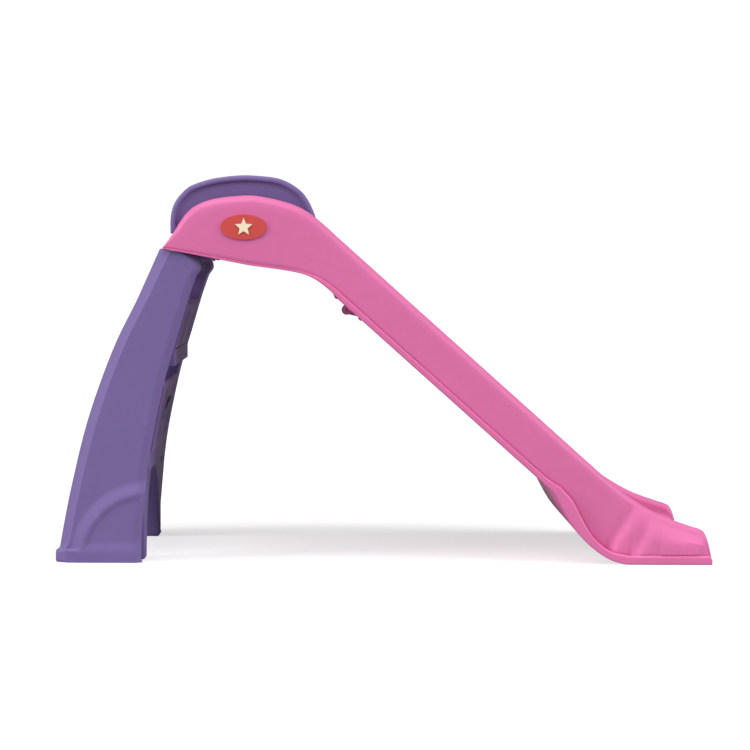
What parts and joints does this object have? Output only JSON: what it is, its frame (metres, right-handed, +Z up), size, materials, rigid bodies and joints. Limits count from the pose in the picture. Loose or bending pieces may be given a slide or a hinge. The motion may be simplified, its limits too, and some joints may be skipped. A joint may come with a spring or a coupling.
{
  "type": "toddler slide",
  "caption": "Folding toddler slide: humped hollow chute with a flared run-out, stepped ladder that folds under it, plug-in arched handrails and a swing-out storage latch.",
  "frame": {"origin": "on the floor, centred in length and width", "axes": "+X the way down the slide, towards the run-out; -Y the rider's right; +Z up"},
  "size_m": [1.006, 0.46, 0.5918],
  "materials": {
    "chute_plastic": "pink blow-moulded polyethylene, semi-gloss",
    "ladder_plastic": "purple blow-moulded polyethylene, semi-gloss",
    "badge_plate": "coral moulded badge",
    "badge_star": "cream moulded star",
    "screw_steel": "zinc-plated steel",
    "bush_plastic": "natural nylon"
  },
  "bodies": {
    "chute": {"slide_chute": "chute_plastic", "hinge_bracket_right": "ladder_plastic", "bracket_screw_right_1": "screw_steel", "bracket_screw_right_2": "screw_steel", "hinge_pin_right": "screw_steel", "badge_right": "badge_plate", "badge_star_right": "badge_star", "hinge_bracket_left": "ladder_plastic", "bracket_screw_left_1": "screw_steel", "bracket_screw_left_2": "screw_steel", "hinge_pin_left": "screw_steel", "badge_left": "badge_plate", "badge_star_left": "badge_star", "latch_mount": "chute_plastic", "latch_screw_1": "screw_steel", "latch_screw_2": "screw_steel", "latch_screw_3": "screw_steel", "latch_pin": "screw_steel"},
    "ladder": {"ladder": "ladder_plastic", "hinge_bush_right": "bush_plastic", "hinge_bush_left": "bush_plastic", "latch_catch": "bush_plastic"},
    "storage_latch": {"storage_latch": "chute_plastic"},
    "handrail_right": {"handrail_right": "ladder_plastic"},
    "handrail_left": {"handrail_left": "ladder_plastic"}
  },
  "joints": [
    {"name": "ladder_fold", "type": "hinge", "parent": "chute", "child": "ladder", "pos_m": [-0.2985, 0, 0.4505], "axis": [0, -1, 0], "range_deg": [0, 66]},
    {"name": "latch_swing", "type": "hinge", "parent": "chute", "child": "storage_latch", "pos_m": [-0.05713, 0, 0.38288], "axis": [0, 1, 0], "range_deg": [0, 94]},
    {"name": "handrail_right_pull", "type": "slide", "parent": "chute", "child": "handrail_right", "axis": [0, 0, 1], "range_m": [0, 0.06]},
    {"name": "handrail_left_pull", "type": "slide", "parent": "chute", "child": "handrail_left", "axis": [0, 0, 1], "range_m": [0, 0.06]}
  ]
}
